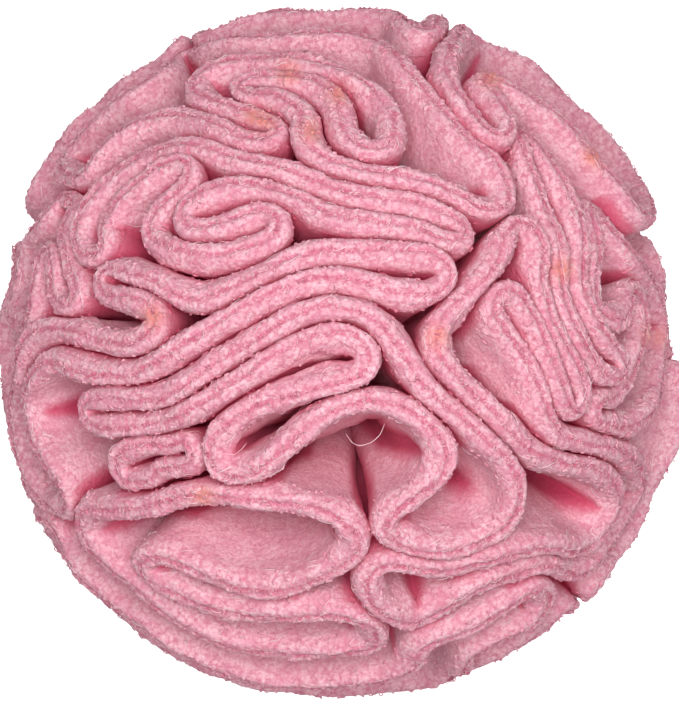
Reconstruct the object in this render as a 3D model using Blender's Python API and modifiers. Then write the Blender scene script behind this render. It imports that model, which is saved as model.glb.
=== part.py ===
"""Plush snuffle ball, 165 mm across, in metres, Z up, with its base on the plane z = 0.

Round sheets of plush fleece are gathered at their middles on a stitched core. Their cut rims have more
length than the ball has round it, so they meander over its surface in folds, hairpins and spirals. The
side that is seen has each rim's own course, and round the belt and underneath the rims grow longer until
their folds fill the ball. Each rim lies on the ball, and its sheet runs from there straight to the core,
so sheets whose rims keep their distance never meet. The ball rests on the flattened tips of the folds
under it.
"""
import math

import bmesh
import bpy
import numpy as np
from mathutils import Vector

# Driving dimensions.
BALL_RADIUS = 0.0825
REST_FLAT_DEPTH = 0.0045
FLEECE_THICKNESS = 0.0037
RIM_EDGE_THICKNESS = 0.0021
RIM_ROUNDING_DEPTH = 0.0028
CORE_RADIUS = 0.0140
SEAT_CLEARANCE = 0.0003
FOLD_CLEARANCE = 0.0005
RIM_POINT_SPACING = 0.0026
FACET_DEPARTURE = 0.00050
LONGEST_FACET = 0.0091
CUT_OVERRUN = 0.0100

# How the rims are spread over the ball.
EYE_DISTANCE_SHARE = 12.0
SEEN_EDGE_SHARE = 0.98
BELT_ANGLE_PER_SHARE = math.radians(250)
UNDER_OPEN_ANGLE = math.radians(50)
UNDER_CLOSING_SHARE = 0.51
UNDER_TURN_ANGLE = math.radians(70)
UNDER_LEFT_OUT = ("small_fold", "belt_low", "left_edge", "belt_right")
SEEN_HEIGHT_SHARE = 0.14
GROWTH_ROUNDS = 60
GROWN_LENGTH_SHARE = 93.0
GROWTH_OPENING_SHARE = 0.14
GROWTH_FOLD_SHARE = 0.088
GROWTH_PUSH_SHARE = 1.5
GROWTH_STRETCH_SHARE = 1.25
SPRING_SHARE = 0.25
FAIRING_SHARE = 0.04
LONGEST_STEP_SHARE = 0.4
RESPACE_ROUNDS = 4
SPREAD_ROUNDS = 140
SETTLING_ROUNDS = 30
NEIGHBOUR_ROUNDS = 6
SEARCH_SHARE = 2.5
SPREAD_EASE_SHARE = 0.2
PUSH_SHARE = 0.3
RIM_WAVE_SHARE = 0.006
RIM_WAVE_COUNT = 7
CURVE_STEPS = 12
LEAST_RIM_POINTS = 8
SAME_BEND_POINTS = 2
CORE_SEGMENTS = 24
CORE_RINGS = 12
TINY_SHARE = 1e-9

# How far each rim stands out, as a share of the ball's radius.
REACH_SHARES = {
    "centre": 1.0, "right": 0.995, "left_strip": 1.0, "spiral": 0.995, "crown": 1.005, "pocket": 1.0,
    "small_fold": 0.975, "lower_rim": 1.015, "belt_lower_right": 1.02, "belt_low": 1.015, "petal": 1.025,
    "right_strip": 0.985, "right_curl": 0.97, "left_edge": 0.985, "belt_upper_left": 1.03,
    "belt_top": 1.025, "belt_left": 1.0, "belt_right": 0.98,
}

# The course of each closed rim as the eye above the ball sees it: places to the right of the ball's
# middle and up from it, as shares of its radius. Past the seen edge a share counts as an angle round it.
RIM_SHARES = {
    "centre": (
        (-0.7, -0.125), (-0.6, -0.135), (-0.5, -0.12), (-0.4, -0.05), (-0.3, 0.015), (-0.2, 0.075),
        (-0.1, 0.125), (0, 0.135), (0.08, 0.115), (0.14, 0.07), (0.19, 0.005), (0.24, -0.07),
        (0.31, -0.135), (0.39, -0.19), (0.46, -0.255), (0.51, -0.32), (0.535, -0.39), (0.52, -0.47),
        (0.47, -0.535), (0.39, -0.58), (0.29, -0.6), (0.2, -0.585), (0.14, -0.55), (0.14, -0.5),
        (0.19, -0.455), (0.25, -0.41), (0.3, -0.355), (0.32, -0.3), (0.3, -0.25), (0.26, -0.205),
        (0.2, -0.165), (0.12, -0.138), (0.04, -0.14), (-0.04, -0.17), (-0.12, -0.235), (-0.2, -0.305),
        (-0.27, -0.36), (-0.34, -0.37), (-0.39, -0.33), (-0.4, -0.28), (-0.36, -0.225), (-0.28, -0.17),
        (-0.18, -0.13), (-0.08, -0.105), (0.02, -0.085), (0.08, -0.05), (0.09, 0), (0.06, 0.04),
        (0, 0.065), (-0.08, 0.05), (-0.17, 0.01), (-0.26, -0.05), (-0.34, -0.1), (-0.42, -0.15),
        (-0.5, -0.195), (-0.58, -0.215), (-0.67, -0.22), (-0.74, -0.2), (-0.76, -0.16)),
    "right": (
        (0.53, 0.385), (0.5, 0.35), (0.48, 0.28), (0.44, 0.22), (0.38, 0.17), (0.32, 0.12),
        (0.29, 0.06), (0.295, -0.005), (0.34, -0.07), (0.4, -0.135), (0.46, -0.2), (0.52, -0.265),
        (0.58, -0.31), (0.65, -0.33), (0.72, -0.335), (0.79, -0.355), (0.835, -0.4), (0.835, -0.46),
        (0.8, -0.52), (0.75, -0.57), (0.68, -0.585), (0.6, -0.578), (0.5, -0.6), (0.42, -0.625),
        (0.34, -0.64), (0.25, -0.635), (0.17, -0.62), (0.11, -0.635), (0.08, -0.68), (0.1, -0.74),
        (0.16, -0.78), (0.23, -0.8), (0.3, -0.77), (0.36, -0.73), (0.43, -0.69), (0.5, -0.67),
        (0.57, -0.645), (0.62, -0.625), (0.67, -0.645), (0.72, -0.65), (0.78, -0.6), (0.84, -0.54),
        (0.89, -0.47), (0.92, -0.4), (0.9, -0.33), (0.85, -0.285), (0.8, -0.26), (0.74, -0.26),
        (0.67, -0.24), (0.625, -0.18), (0.6, -0.1), (0.57, -0.03), (0.53, 0.04), (0.48, 0.1),
        (0.45, 0.15), (0.465, 0.195), (0.51, 0.2), (0.55, 0.165), (0.59, 0.1), (0.62, 0.02),
        (0.65, -0.06), (0.67, -0.13), (0.7, -0.175), (0.73, -0.14), (0.72, -0.08), (0.69, -0.01),
        (0.66, 0.06), (0.63, 0.14), (0.61, 0.22), (0.605, 0.3), (0.58, 0.36)),
    "left_strip": (
        (-0.86, -0.025), (-0.78, -0.05), (-0.7, -0.075), (-0.62, -0.07), (-0.55, -0.035),
        (-0.48, 0.01), (-0.4, 0.065), (-0.3, 0.125), (-0.2, 0.18), (-0.1, 0.215), (0, 0.225),
        (0.1, 0.205), (0.2, 0.18), (0.27, 0.175), (0.32, 0.2), (0.335, 0.245), (0.3, 0.29),
        (0.22, 0.31), (0.1, 0.315), (0, 0.315), (-0.1, 0.3), (-0.18, 0.265), (-0.26, 0.225),
        (-0.34, 0.185), (-0.42, 0.16), (-0.49, 0.18), (-0.55, 0.215), (-0.62, 0.235), (-0.68, 0.255),
        (-0.72, 0.235), (-0.705, 0.195), (-0.65, 0.175), (-0.58, 0.16), (-0.545, 0.125),
        (-0.55, 0.075), (-0.6, 0.04), (-0.67, 0.035), (-0.75, 0.06), (-0.82, 0.085), (-0.88, 0.08),
        (-0.925, 0.03), (-0.955, -0.05), (-0.98, -0.13), (-0.98, -0.22), (-0.96, -0.3), (-0.92, -0.38),
        (-0.87, -0.45), (-0.805, -0.465), (-0.825, -0.38), (-0.87, -0.31), (-0.91, -0.24),
        (-0.93, -0.17), (-0.92, -0.095)),
    "spiral": (
        (-0.71, 0.32), (-0.71, 0.38), (-0.68, 0.44), (-0.62, 0.495), (-0.56, 0.54), (-0.51, 0.565),
        (-0.46, 0.57), (-0.43, 0.54), (-0.46, 0.495), (-0.51, 0.46), (-0.55, 0.42), (-0.57, 0.38),
        (-0.55, 0.34), (-0.49, 0.31), (-0.42, 0.295), (-0.34, 0.3), (-0.26, 0.32), (-0.2, 0.35),
        (-0.175, 0.39), (-0.195, 0.43), (-0.25, 0.435), (-0.32, 0.41), (-0.38, 0.385), (-0.44, 0.38),
        (-0.475, 0.41), (-0.46, 0.45), (-0.4, 0.49), (-0.32, 0.51), (-0.24, 0.51), (-0.15, 0.485),
        (-0.08, 0.45), (0, 0.415), (0.1, 0.395), (0.2, 0.38), (0.28, 0.35), (0.35, 0.335),
        (0.385, 0.36), (0.36, 0.4), (0.28, 0.435), (0.2, 0.458), (0.1, 0.475), (0, 0.495),
        (-0.1, 0.53), (-0.2, 0.565), (-0.3, 0.585), (-0.38, 0.605), (-0.46, 0.62), (-0.55, 0.605),
        (-0.63, 0.57), (-0.7, 0.515), (-0.75, 0.45), (-0.78, 0.38), (-0.785, 0.32), (-0.75, 0.295)),
    "crown": (
        (-0.47, 0.905), (-0.38, 0.915), (-0.28, 0.928), (-0.18, 0.943), (-0.08, 0.95), (0.02, 0.948),
        (0.11, 0.93), (0.17, 0.885), (0.23, 0.83), (0.29, 0.77), (0.35, 0.7), (0.41, 0.63),
        (0.47, 0.565), (0.505, 0.5), (0.5, 0.445), (0.45, 0.428), (0.38, 0.46), (0.3, 0.5),
        (0.2, 0.53), (0.1, 0.55), (0, 0.565), (-0.07, 0.595), (-0.11, 0.64), (-0.11, 0.695),
        (-0.145, 0.745), (-0.21, 0.77), (-0.28, 0.775), (-0.29, 0.808), (-0.23, 0.823), (-0.14, 0.823),
        (-0.06, 0.808), (-0.01, 0.77), (0.01, 0.71), (0.03, 0.65), (0.08, 0.615), (0.14, 0.62),
        (0.165, 0.67), (0.145, 0.73), (0.1, 0.785), (0.03, 0.83), (-0.06, 0.863), (-0.17, 0.88),
        (-0.28, 0.87), (-0.36, 0.845), (-0.42, 0.805), (-0.415, 0.765), (-0.35, 0.743), (-0.27, 0.72),
        (-0.205, 0.695), (-0.19, 0.66), (-0.24, 0.643), (-0.31, 0.655), (-0.38, 0.69), (-0.45, 0.712),
        (-0.53, 0.705), (-0.61, 0.67), (-0.68, 0.62), (-0.74, 0.56), (-0.79, 0.52), (-0.83, 0.55),
        (-0.8, 0.61), (-0.755, 0.655), (-0.69, 0.71), (-0.61, 0.76), (-0.54, 0.815), (-0.5, 0.865)),
    "pocket": (
        (-0.76, -0.46), (-0.68, -0.465), (-0.6, -0.45), (-0.5, -0.425), (-0.4, -0.415), (-0.3, -0.42),
        (-0.2, -0.435), (-0.08, -0.455), (0, -0.49), (0.05, -0.54), (0.05, -0.59), (0, -0.635),
        (-0.08, -0.675), (-0.18, -0.7), (-0.28, -0.7), (-0.38, -0.67), (-0.47, -0.63), (-0.54, -0.605),
        (-0.59, -0.62), (-0.57, -0.67), (-0.49, -0.71), (-0.4, -0.75), (-0.3, -0.775), (-0.18, -0.78),
        (-0.08, -0.775), (0, -0.77), (0.07, -0.785), (0.11, -0.82), (0.1, -0.865), (0.03, -0.888),
        (-0.08, -0.895), (-0.2, -0.89), (-0.3, -0.87), (-0.4, -0.835), (-0.5, -0.78), (-0.58, -0.725),
        (-0.65, -0.66), (-0.72, -0.59), (-0.77, -0.52)),
    "small_fold": (
        (-0.5, -0.285), (-0.44, -0.275), (-0.425, -0.31), (-0.46, -0.34), (-0.53, -0.35),
        (-0.56, -0.385), (-0.62, -0.4), (-0.67, -0.375), (-0.675, -0.32), (-0.64, -0.285),
        (-0.57, -0.28)),
    "lower_rim": (
        (-0.83, -0.52), (-0.79, -0.6), (-0.73, -0.675), (-0.66, -0.745), (-0.57, -0.805),
        (-0.48, -0.86), (-0.38, -0.905), (-0.28, -0.94), (-0.15, -0.965), (-0.04, -0.97),
        (0.06, -0.96), (0.15, -0.942), (0.22, -0.905), (0.24, -0.865), (0.29, -0.845), (0.36, -0.815),
        (0.44, -0.775), (0.52, -0.735), (0.58, -0.698), (0.615, -0.715), (0.58, -0.77), (0.51, -0.815),
        (0.44, -0.855), (0.38, -0.895), (0.355, -0.955), (0.28, -1.01), (0.16, -1.04), (0.04, -1.055),
        (-0.1, -1.055), (-0.22, -1.035), (-0.34, -1), (-0.46, -0.95), (-0.57, -0.885), (-0.67, -0.815),
        (-0.75, -0.745), (-0.83, -0.66), (-0.89, -0.575), (-0.92, -0.5), (-0.88, -0.475)),
    "belt_lower_right": (
        (0.74, -0.685), (0.81, -0.63), (0.88, -0.555), (0.93, -0.475), (0.97, -0.38), (1.005, -0.27),
        (1.025, -0.15), (1.035, -0.05), (1.07, -0.06), (1.065, -0.16), (1.048, -0.285), (1.01, -0.41),
        (0.945, -0.535), (0.87, -0.65), (0.8, -0.735), (0.755, -0.73)),
    "belt_low": (
        (0.66, -0.755), (0.6, -0.815), (0.52, -0.875), (0.45, -0.92), (0.42, -0.975), (0.47, -0.98),
        (0.56, -0.925), (0.64, -0.865), (0.705, -0.805), (0.7, -0.76)),
    "petal": (
        (0.32, 0.925), (0.295, 0.86), (0.31, 0.79), (0.36, 0.72), (0.41, 0.655), (0.46, 0.62),
        (0.485, 0.65), (0.465, 0.71), (0.42, 0.775), (0.425, 0.798), (0.47, 0.78), (0.54, 0.745),
        (0.62, 0.698), (0.7, 0.63), (0.76, 0.56), (0.82, 0.49), (0.865, 0.415), (0.915, 0.42),
        (0.91, 0.5), (0.875, 0.58), (0.815, 0.67), (0.735, 0.76), (0.64, 0.845), (0.54, 0.91),
        (0.44, 0.96), (0.36, 0.975)),
    "right_strip": (
        (0.535, 0.67), (0.55, 0.6), (0.58, 0.54), (0.61, 0.48), (0.635, 0.42), (0.655, 0.355),
        (0.665, 0.29), (0.67, 0.22), (0.685, 0.15), (0.71, 0.08), (0.74, 0.02), (0.77, -0.04),
        (0.8, -0.085), (0.845, -0.09), (0.86, -0.045), (0.835, 0.01), (0.805, 0.06), (0.775, 0.11),
        (0.755, 0.17), (0.745, 0.24), (0.735, 0.31), (0.725, 0.38), (0.705, 0.45), (0.67, 0.52),
        (0.63, 0.585), (0.58, 0.65)),
    "right_curl": (
        (0.77, 0.45), (0.775, 0.38), (0.79, 0.31), (0.795, 0.24), (0.79, 0.175), (0.805, 0.12),
        (0.84, 0.095), (0.875, 0.115), (0.895, 0.165), (0.92, 0.195), (0.945, 0.15), (0.945, 0.075),
        (0.92, 0.005), (0.9, -0.06), (0.855, -0.125), (0.795, -0.135), (0.78, -0.185), (0.83, -0.215),
        (0.9, -0.22), (0.955, -0.17), (0.99, -0.09), (1.01, 0), (1.015, 0.1), (0.98, 0.2),
        (0.92, 0.28), (0.865, 0.345), (0.815, 0.415)),
    "left_edge": (
        (-0.83, 0.485), (-0.86, 0.44), (-0.89, 0.395), (-0.93, 0.36), (-0.965, 0.3), (-0.985, 0.22),
        (-0.99, 0.13), (-0.95, 0.085), (-0.925, 0.14), (-0.92, 0.21), (-0.905, 0.28), (-0.875, 0.315),
        (-0.86, 0.26), (-0.865, 0.19), (-0.84, 0.14), (-0.8, 0.16), (-0.805, 0.23), (-0.825, 0.3),
        (-0.835, 0.37), (-0.815, 0.43), (-0.805, 0.47)),
    "belt_upper_left": (
        (-0.605, 0.825), (-0.66, 0.785), (-0.73, 0.73), (-0.8, 0.665), (-0.86, 0.595), (-0.905, 0.525),
        (-0.935, 0.48), (-0.97, 0.48), (-0.945, 0.55), (-0.89, 0.625), (-0.825, 0.705), (-0.75, 0.785),
        (-0.66, 0.86), (-0.57, 0.925), (-0.49, 0.965), (-0.46, 0.94), (-0.52, 0.9)),
    "belt_top": (
        (-0.41, 0.945), (-0.33, 0.975), (-0.24, 0.995), (-0.14, 1.005), (-0.04, 1.01), (0.06, 1.015),
        (0.15, 1), (0.22, 0.96), (0.27, 0.925), (0.31, 0.97), (0.29, 1.03), (0.2, 1.06), (0.08, 1.075),
        (-0.06, 1.075), (-0.2, 1.06), (-0.32, 1.025), (-0.42, 0.98)),
    "belt_left": (
        (-0.99, 0.3), (-1.025, 0.145), (-1.035, -0.02), (-1.02, -0.18), (-0.985, -0.32),
        (-0.938, -0.43), (-0.965, -0.485), (-1.02, -0.37), (-1.065, -0.205), (-1.084, -0.04),
        (-1.077, 0.13), (-1.035, 0.285)),
    "belt_right": (
        (1.05, 0), (1.045, 0.1), (1.03, 0.205), (0.999, 0.31), (1.015, 0.365), (1.045, 0.31),
        (1.074, 0.185), (1.088, 0.07), (1.085, 0)),
}


BALL_CENTRE = np.array((0.0, 0.0, BALL_RADIUS - REST_FLAT_DEPTH))
FOLD_SPACING_SHARE = round((FLEECE_THICKNESS + FOLD_CLEARANCE + 1.5 * FACET_DEPARTURE) / BALL_RADIUS, 9)
POINT_SPACING_SHARE = round(RIM_POINT_SPACING / BALL_RADIUS, 9)
FACET_DEPARTURE_SHARE = round(FACET_DEPARTURE / BALL_RADIUS, 9)
LONGEST_FACET_SHARE = round(LONGEST_FACET / BALL_RADIUS, 9)

FLEECE_COLOUR = (0.80, 0.27, 0.38, 1.0)
CORE_COLOUR = (0.62, 0.14, 0.24, 1.0)


def clear_scene():
    for old in list(bpy.data.objects):
        bpy.data.objects.remove(old)


def make_collection(name):
    collection = bpy.data.collections.new(name)
    bpy.context.scene.collection.children.link(collection)
    return collection


def make_material(name, colour, roughness):
    material = bpy.data.materials.new(name)
    material.use_nodes = True
    shader = material.node_tree.nodes["Principled BSDF"]
    shader.inputs["Base Color"].default_value = colour
    shader.inputs["Roughness"].default_value = roughness
    shader.inputs["Metallic"].default_value = 0.0
    material.diffuse_color = colour
    return material


def unit(vectors):
    return vectors / np.linalg.norm(vectors, axis=-1, keepdims=True)


def seen_angle(share):
    """Angle from the top of the ball to a place that the eye sees at this share of the radius."""
    slant = math.atan2(min(share, SEEN_EDGE_SHARE), EYE_DISTANCE_SHARE)
    angle = math.asin(EYE_DISTANCE_SHARE * math.sin(slant)) - slant
    return angle + max(share - SEEN_EDGE_SHARE, 0.0) * BELT_ANGLE_PER_SHARE


def facing(angle, bearing):
    return (math.sin(angle) * math.cos(bearing), math.sin(angle) * math.sin(bearing), math.cos(angle))


def upper_places(shares):
    """Directions from the ball's centre to the places of a rim on the side that is seen."""
    return np.array([facing(seen_angle(math.hypot(x, y)), math.atan2(y, x)) for x, y in shares])


def under_places(shares):
    """The same rim turned over to the underside, drawn in towards the pole where it nears the belt."""
    places = []
    for x, y in shares:
        angle = seen_angle(math.hypot(x, y))
        angle -= max(angle - UNDER_OPEN_ANGLE, 0.0) * (1 - UNDER_CLOSING_SHARE)
        places.append(facing(math.pi - angle, UNDER_TURN_ANGLE - math.atan2(y, x)))
    return np.array(places)


def even_rim(places):
    """A closed curve through the places, as directions at even distances along it."""
    count = len(places)
    steps = np.linspace(0, 1, CURVE_STEPS, endpoint=False)[:, None]
    curve = []
    for i in range(count):
        before, start, end, after = (places[(i + k) % count] for k in (-1, 0, 1, 2))
        curve.append(start + 0.5 * steps * (end - before + steps * (
            2 * before - 5 * start + 4 * end - after + steps * (3 * start - before - 3 * end + after))))
    return respaced(unit(np.concatenate(curve)))


def respaced(curve):
    """The same closed curve, with its points at even distances."""
    closed = np.vstack((curve, curve[:1]))
    along = np.concatenate(([0.0], np.cumsum(np.linalg.norm(np.diff(closed, axis=0), axis=1))))
    count = max(LEAST_RIM_POINTS, round(along[-1] / POINT_SPACING_SHARE))
    even = np.linspace(0, along[-1], count, endpoint=False)
    return unit(np.stack([np.interp(even, along, closed[:, axis]) for axis in range(3)], axis=1))


class Rims:
    """All the rims in one array of points, with each point's rim and its neighbours along it."""

    def __init__(self, rims):
        self.points = np.concatenate(rims)
        self.size = np.concatenate([np.full(len(rim), len(rim)) for rim in rims])
        self.rim_of = np.concatenate([np.full(len(rim), number) for number, rim in enumerate(rims)])
        self.place = np.concatenate([np.arange(len(rim)) for rim in rims])
        start = np.arange(len(self.points)) - self.place
        self.after = start + (self.place + 1) % self.size
        self.before = start + (self.place - 1) % self.size

    def near(self, distance):
        """Pairs of points within a distance, and how many points lie between them along their rim."""
        close = self.points.astype(np.float32)
        first, second = np.nonzero(1 - close @ close.T < 0.5 * distance ** 2)
        apart = np.abs(self.place[first] - self.place[second])
        apart = np.minimum(apart, self.size[first] - apart)
        return first, second, np.where(self.rim_of[first] == self.rim_of[second], apart, len(self.points))

    def split(self):
        return [self.points[self.rim_of == number] for number in range(self.rim_of[-1] + 1)]


def grown(rims):
    """Let the rims grow longer where the eye doesn't see them, until their folds fill the ball."""
    for turn in range(GROWTH_ROUNDS):
        every = Rims(rims)
        points = every.points
        if len(points) * POINT_SPACING_SHARE > GROWN_LENGTH_SHARE:
            break
        if turn % RESPACE_ROUNDS == 0:
            first, second, apart = every.near(GROWTH_OPENING_SHARE)
            kept = apart * POINT_SPACING_SHARE > GROWTH_FOLD_SHARE
            first, second = first[kept], second[kept]
        away = points[first] - points[second]
        distance = np.linalg.norm(away, axis=1)[:, None] + TINY_SHARE
        push = np.zeros_like(points)
        np.add.at(push, first, np.maximum(1 - distance / GROWTH_OPENING_SHARE, 0) ** 2 * away / distance)
        step = GROWTH_PUSH_SHARE * POINT_SPACING_SHARE * push
        for other in (every.after, every.before):
            edge = points[other] - points
            length = np.linalg.norm(edge, axis=1)[:, None]
            step += SPRING_SHARE * (length - GROWTH_STRETCH_SHARE * POINT_SPACING_SHARE) * edge / length
        step += FAIRING_SHARE * (points[every.after] + points[every.before] - 2 * points)
        step *= np.clip(1 - points[:, 2] / SEEN_HEIGHT_SHARE, 0, 1)[:, None]
        far = np.linalg.norm(step, axis=1)[:, None] + TINY_SHARE
        every.points = unit(points + step * np.minimum(1, LONGEST_STEP_SHARE * POINT_SPACING_SHARE / far))
        rims = every.split()
        if turn % RESPACE_ROUNDS == RESPACE_ROUNDS - 1:
            rims = [respaced(rim) for rim in rims]
    return [respaced(rim) for rim in rims]


def spread(rims):
    """Move the rims apart until every fold has room for the sheet, and keep their course."""
    every = Rims(rims)
    home = every.points.copy()
    for turn in range(SPREAD_ROUNDS + SETTLING_ROUNDS):
        points = every.points
        if turn % NEIGHBOUR_ROUNDS == 0:
            first, second, apart = every.near(SEARCH_SHARE * FOLD_SPACING_SHARE)
            kept = apart > SAME_BEND_POINTS
            first, second = first[kept], second[kept]
            bend = np.minimum((apart[kept] - 1) * POINT_SPACING_SHARE / FOLD_SPACING_SHARE, math.pi / 2)
            need = FOLD_SPACING_SHARE * np.sin(bend)[:, None]
        end = every.after[second]
        stretch = points[end] - points[second]
        reach = points[first] - points[second]
        share = np.clip(np.sum(reach * stretch, axis=1) / np.sum(stretch ** 2, axis=1), 0, 1)[:, None]
        away = reach - share * stretch
        distance = np.linalg.norm(away, axis=1)[:, None] + TINY_SHARE
        push = PUSH_SHARE * np.maximum(need - distance, 0) * away / distance
        moved = np.zeros_like(points)
        np.add.at(moved, first, push)
        np.add.at(moved, second, -push * (1 - share))
        np.add.at(moved, end, -push * share)
        shift = points + moved - home
        if turn < SPREAD_ROUNDS:
            shift += SPREAD_EASE_SHARE * (shift[every.before] + shift[every.after] - 2 * shift)
        every.points = unit(home + shift)
    return every.split()


def thinned(rim):
    """Leave out the points that the rim doesn't need to keep its shape."""
    kept = [0]
    for i in range(2, len(rim) + 1):
        start = rim[kept[-1]]
        along = rim[i % len(rim)] - start
        between = rim[kept[-1] + 1:i] - start
        off = between - (between @ along / (along @ along))[:, None] * along
        bulge = np.linalg.norm(off, axis=1).max()
        if bulge > FACET_DEPARTURE_SHARE or np.linalg.norm(along) > LONGEST_FACET_SHARE:
            kept.append(i - 1)
    return rim[kept]


def rim_reaches(rim, share, phase):
    """Distance from the ball's centre to each point of a rim, with a slight wave along it."""
    along = np.concatenate(([0.0], np.cumsum(np.linalg.norm(np.diff(rim, axis=0), axis=1))))
    whole = along[-1] + np.linalg.norm(rim[0] - rim[-1])
    wave = np.sin(2 * math.pi * RIM_WAVE_COUNT * along / whole + phase)
    return BALL_RADIUS * share * (1 + RIM_WAVE_SHARE * wave)


def drawn_out(bm, ring, places):
    """Extrude a closed ring of corners to new places, and give the new ring in the same order."""
    edges = [bm.edges.get((ring[i - 1], ring[i])) for i in range(len(ring))]
    order = {corner: i for i, corner in enumerate(ring)}
    drawn = bmesh.ops.extrude_edge_only(bm, edges=edges)["geom"]
    new_ring = list(ring)
    for corner in drawn:
        if isinstance(corner, bmesh.types.BMVert):
            beside = (edge.other_vert(corner) for edge in corner.link_edges)
            old = next(other for other in beside if other in order)
            new_ring[order[old]] = corner
    for corner, spot in zip(new_ring, places):
        corner.co = spot
    return new_ring


def fleece_disc(name, rim, reaches, material, parts, cutter):
    """One gathered sheet, from its seat on the core out to its rounded rim."""
    shoulders = reaches - RIM_ROUNDING_DEPTH
    bm = bmesh.new()
    thickness = bm.verts.layers.deform.verify()
    seat = [bm.verts.new(spot) for spot in BALL_CENTRE + CORE_RADIUS * rim]
    for i in range(len(seat)):
        bm.edges.new((seat[i - 1], seat[i]))
    shoulder = drawn_out(bm, seat, BALL_CENTRE + shoulders[:, None] * rim)
    edge = drawn_out(bm, shoulder, BALL_CENTRE + reaches[:, None] * rim)
    seat_weights = np.full(len(rim), CORE_RADIUS / BALL_RADIUS)
    edge_weights = np.full(len(rim), RIM_EDGE_THICKNESS / FLEECE_THICKNESS)
    for ring, weights in ((seat, seat_weights), (shoulder, shoulders / BALL_RADIUS), (edge, edge_weights)):
        for corner, weight in zip(ring, weights):
            corner[thickness][0] = float(weight)
    mesh = bpy.data.meshes.new(name)
    bm.to_mesh(mesh)
    bm.free()
    mesh.materials.append(material)
    sheet = bpy.data.objects.new(name, mesh)
    sheet.vertex_groups.new(name="thickness")
    parts.objects.link(sheet)
    solidify = sheet.modifiers.new("Pile", "SOLIDIFY")
    solidify.thickness = FLEECE_THICKNESS
    solidify.offset = 0.0
    solidify.vertex_group = "thickness"
    lowest = BALL_CENTRE[2] + float(np.min(rim[:, 2] * reaches))
    if lowest < FLEECE_THICKNESS:
        flatten = sheet.modifiers.new("Rest patch", "BOOLEAN")
        flatten.operation = "DIFFERENCE"
        flatten.object = cutter


def floor_cutter(cutters):
    """The space under the ball, which flattens the folds that it rests on."""
    side = 2 * BALL_RADIUS
    depth = REST_FLAT_DEPTH + CUT_OVERRUN
    mesh = bpy.data.meshes.new("floor_cutter")
    bm = bmesh.new()
    bmesh.ops.create_cube(bm, size=1.0)
    bmesh.ops.scale(bm, vec=(side, side, depth), verts=bm.verts)
    bmesh.ops.translate(bm, vec=(0, 0, -depth / 2), verts=bm.verts)
    bm.to_mesh(mesh)
    bm.free()
    cutter = bpy.data.objects.new("floor_cutter", mesh)
    cutter.hide_render = True
    cutter.display_type = "WIRE"
    cutters.objects.link(cutter)
    return cutter


def stitched_core(material, parts):
    """The stitched middles of all the sheets, which their gathered ends seat on."""
    mesh = bpy.data.meshes.new("stitched_core")
    bm = bmesh.new()
    bmesh.ops.create_uvsphere(bm, u_segments=CORE_SEGMENTS, v_segments=CORE_RINGS,
                              radius=CORE_RADIUS - SEAT_CLEARANCE)
    bm.to_mesh(mesh)
    bm.free()
    mesh.shade_smooth()
    mesh.materials.append(material)
    core = bpy.data.objects.new("stitched_core", mesh)
    core.location = BALL_CENTRE
    parts.objects.link(core)


def stand_on_origin(parts):
    """Shift the ball sideways, so that the middle of its outline is over the origin."""
    bpy.context.view_layer.update()
    graph = bpy.context.evaluated_depsgraph_get()
    corners = np.array([piece.matrix_world @ Vector(corner)
                        for piece in parts.objects for corner in piece.evaluated_get(graph).bound_box])
    middle = (corners.min(axis=0) + corners.max(axis=0)) / 2
    for piece in parts.objects:
        piece.location.x -= middle[0]
        piece.location.y -= middle[1]


def main():
    clear_scene()
    parts = make_collection("plush_snuffle_ball")
    cutters = make_collection("cutters")
    fleece = make_material("plush_fleece", FLEECE_COLOUR, 0.95)
    stitched_core(make_material("gathered_fleece", CORE_COLOUR, 0.95), parts)
    cutter = floor_cutter(cutters)

    courses = {"disc_" + name: (name, upper_places(shares)) for name, shares in RIM_SHARES.items()}
    for name, shares in RIM_SHARES.items():
        if name not in UNDER_LEFT_OUT:
            courses["under_disc_" + name] = (name, under_places(shares))
    rims = spread(grown([even_rim(places) for _, places in courses.values()]))
    for number, ((node, (name, _)), rim) in enumerate(zip(courses.items(), rims)):
        rim = thinned(rim)
        reaches = rim_reaches(rim, REACH_SHARES[name], number)
        fleece_disc(node, rim, reaches, fleece, parts, cutter)
    stand_on_origin(parts)


main()
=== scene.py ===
import math

import bmesh
import bpy
import numpy as np
from bpy.props import FloatProperty, FloatVectorProperty, IntProperty, PointerProperty
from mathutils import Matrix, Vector, noise


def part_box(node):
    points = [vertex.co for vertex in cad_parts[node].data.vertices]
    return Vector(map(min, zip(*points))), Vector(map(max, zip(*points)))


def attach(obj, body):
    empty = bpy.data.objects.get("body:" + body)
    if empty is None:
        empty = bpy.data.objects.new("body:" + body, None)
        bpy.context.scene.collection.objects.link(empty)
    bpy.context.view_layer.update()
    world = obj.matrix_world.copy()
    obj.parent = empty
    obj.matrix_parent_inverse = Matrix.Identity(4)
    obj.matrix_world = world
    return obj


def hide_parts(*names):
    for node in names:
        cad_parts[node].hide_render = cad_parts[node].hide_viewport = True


bl_info = {
    "name": "Plush snuffle ball",
    "version": (1, 0, 0),
    "blender": (4, 5, 0),
    "location": "View3D > Sidebar > Snuffle Ball",
    "description": "Gathered sheets of double-faced plush fleece with pile, knit edges and stray fibres",
    "category": "Object",
}

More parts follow.
